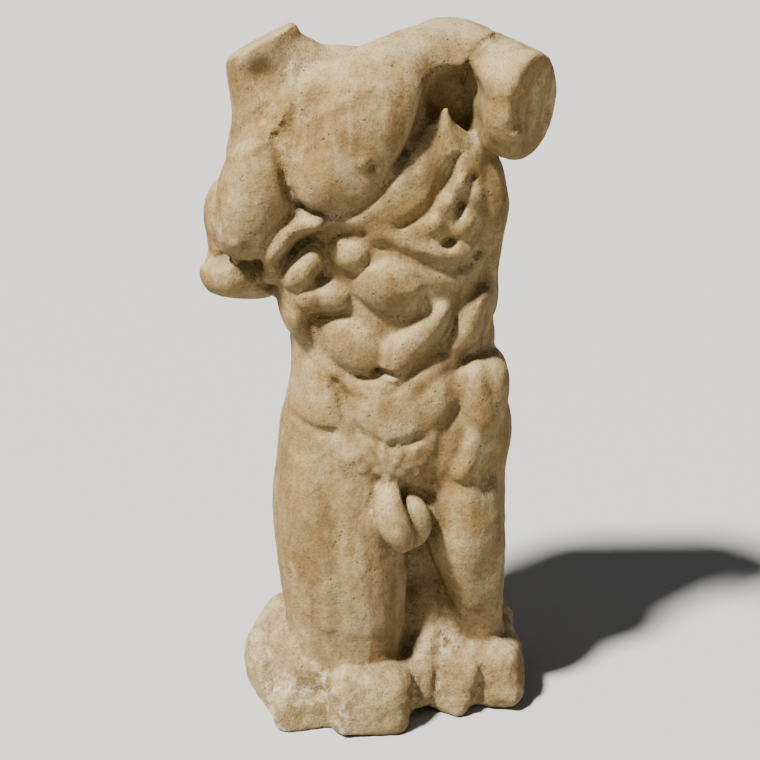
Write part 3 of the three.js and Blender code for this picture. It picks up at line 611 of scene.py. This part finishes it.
def stoneFinish(spec):
    material = bpy.data.materials.new("weatheredStone")
    material.use_nodes = True
    tree = material.node_tree
    shader = tree.nodes["Principled BSDF"]
    w = Wire(tree)
    where = w.make("ShaderNodeTexCoord", {}, {}, "Object")
    hollow, deep, crest, rock = [w.make("ShaderNodeAttribute", {"attribute_name": n}, {}, "Fac") for n in ("hollow", "deep", "crest", "rock")]
    tall = w.make("ShaderNodeMapping", {}, {"Vector": where, "Scale": (1, 1, 0.16)})  # runs of colour down the figure

    slow, middle, quick = w.noise(where, 9), w.noise(where, 34, 4), w.noise(where, 150, 5, 0.7)
    streak, speck = w.noise(tall, 46, 3), w.noise(where, 420, 4, 0.75)
    pits = w.make("ShaderNodeTexVoronoi", {"feature": "F1"}, {"Vector": where, "Scale": 190, "Randomness": 1}, "Distance")
    pitHere = (1 - pits.between(0.10, 0.28)) * (w.noise(where, 60, 2) + hollow * 0.2).between(0.56, 0.68)
    up = w.make("ShaderNodeSeparateXYZ", {}, {"Vector": w.make("ShaderNodeNewGeometry", {}, {}, "Normal")}, "Z")

    base = w.blend(slow.between(0.35, 0.65), spec["tan"], spec["ochre"])
    base = w.blend(middle.between(0.42, 0.72) * 0.6, base, spec["cream"])
    base = w.blend(w.noise(where, 17, 3).between(0.5, 0.75) * 0.5, base, spec["dusk"])
    body = w.blend(streak.between(0.46, 0.66) * 0.7 * (1 - rock), base, spec["rust"])
    body = w.blend(crest.between(0.12, 0.5) * 0.45 * quick.between(0.3, 0.6), body, spec["ochre"])
    # painted shade: darker olive in deep recesses
    body = w.blend(deep.between(0.4, 0.95) * 0.55, body, spec["shadeOlive"])
    # painted shade: olive on downward-facing surfaces
    body = w.blend((0 - up).between(0.05, 0.8) * 0.4, body, spec["shadeOlive"])
    # painted top light: paler cream on upward-facing surfaces, broken into patches by noise
    body = w.blend(up.between(0.2, 0.95) * middle.between(0.25, 0.55) * 0.65, body, spec["cream"])
    dusty = hollow.between(0.12, 0.6) * (1 - deep.between(0.1, 0.5)) * speck.between(0.42, 0.6) * middle.between(0.35, 0.6)
    body = w.blend(dusty * 0.75, body, spec["chalk"])
    body = w.blend(rock * middle.between(0.3, 0.6) * 0.45, body, spec["cream"])
    body = w.blend(rock * crest.between(0.05, 0.4) * quick.between(0.42, 0.62) * 0.8, body, spec["chalk"])
    body = w.blend(rock * slow.between(0.45, 0.6) * 0.4, body, spec["rust"])
    # painted crease shade with grime specks: near-black in the creases, broken by noise
    creaseGrimeAndShade = hollow.between(0.35, 0.9) * (1 - deep.between(0.3, 0.8) * 0.6) * (1 - quick).between(0.45, 0.6)
    body = w.blend(creaseGrimeAndShade * 0.65, body, spec["grimeAndShade"])
    body = w.blend(pitHere * 0.5, body, spec["grimeAndShade"])
    fleck = w.make("ShaderNodeValToRGB", {"stops": [(0.34, (0.5, 0.47, 0.43, 1)), (0.52, (1, 1, 1, 1)), (0.7, (1, 1, 1, 1))]}, {"Fac": speck})
    body = w.blend(0.8, body, fleck, "MULTIPLY")
    mottle = w.make("ShaderNodeValToRGB", {"stops": [(0.32, (0.7, 0.67, 0.62, 1)), (0.56, (1, 1, 1, 1))]}, {"Fac": quick})
    body = w.blend(0.8, body, mottle, "MULTIPLY")
    tree.links.new(body.socket, shader.inputs["Base Color"])

    rough = spec["roughness"] + speck * 0.12 - crest.between(0.2, 0.6) * 0.12
    tree.links.new(rough.socket, shader.inputs["Roughness"])
    shader.inputs["Specular IOR Level"].default_value = 0.25

    crumble = 0.5 + rock * 0.6 + hollow.between(0.1, 0.5) * 0.8  # rougher in the creases and on the base
    height = speck * crumble * 0.8 + quick * crumble * 1.6 + middle * 1.2 - pitHere * 1.0
    bump = w.make("ShaderNodeBump", {}, {"Strength": 0.85, "Distance": 0.0022, "Height": height}, "Normal")
    tree.links.new(bump.socket, shader.inputs["Normal"])
    return material


torso.data.materials.append(stoneFinish(stone))
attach(torso, "root")
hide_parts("torso")
print("stone finish on")


studio = {
    "eye": (0, -1.400, 0.860),  # metres, from the torso's own middle
    "tilt": 70.5,  # degrees up from straight down
    "viewWidth": 29.87,  # degrees
    "keyFrom": (-0.46, -0.38, 0.80),
    "keySpread": 7,  # degrees, soft-edged shadows
    "keyStrength": 13.5,
    "keyColour": (1.0, 0.965, 0.90),
    "floor": (0.44, 0.44, 0.435, 1),
    "sky": (0.93, 0.96, 1.0, 1),
    "skyStrength": 0.12,
}


def makeStudio(spec):
    scene = bpy.context.scene
    camera = bpy.data.objects.new("camera", bpy.data.cameras.new("camera"))
    camera.location = np.array(spec["eye"]) + place * (1, 1, 0)
    camera.rotation_euler = (np.radians(spec["tilt"]), 0, 0)
    camera.data.angle = np.radians(spec["viewWidth"])
    scene.collection.objects.link(camera)
    scene.camera = camera

    key = bpy.data.objects.new("key", bpy.data.lights.new("key", "SUN"))
    key.data.energy, key.data.angle, key.data.color = spec["keyStrength"], np.radians(spec["keySpread"]), spec["keyColour"]
    x, y, z = spec["keyFrom"]
    key.rotation_euler = (np.arctan2(np.hypot(x, y), z), 0, np.arctan2(y, x) + np.pi / 2)
    scene.collection.objects.link(key)

    world = bpy.data.worlds.new("studio")
    scene.world = world
    world.use_nodes = True
    background = world.node_tree.nodes["Background"]
    background.inputs["Color"].default_value = spec["sky"]
    background.inputs["Strength"].default_value = spec["skyStrength"]

    bpy.ops.mesh.primitive_plane_add(size=60)
    floor = bpy.context.object
    floor.name = "floor"
    paper = bpy.data.materials.new("paper")
    paper.use_nodes = True
    paper.node_tree.nodes["Principled BSDF"].inputs["Base Color"].default_value = spec["floor"]
    paper.node_tree.nodes["Principled BSDF"].inputs["Roughness"].default_value = 0.9
    floor.data.materials.append(paper)


makeStudio(studio)
print("studio lit")
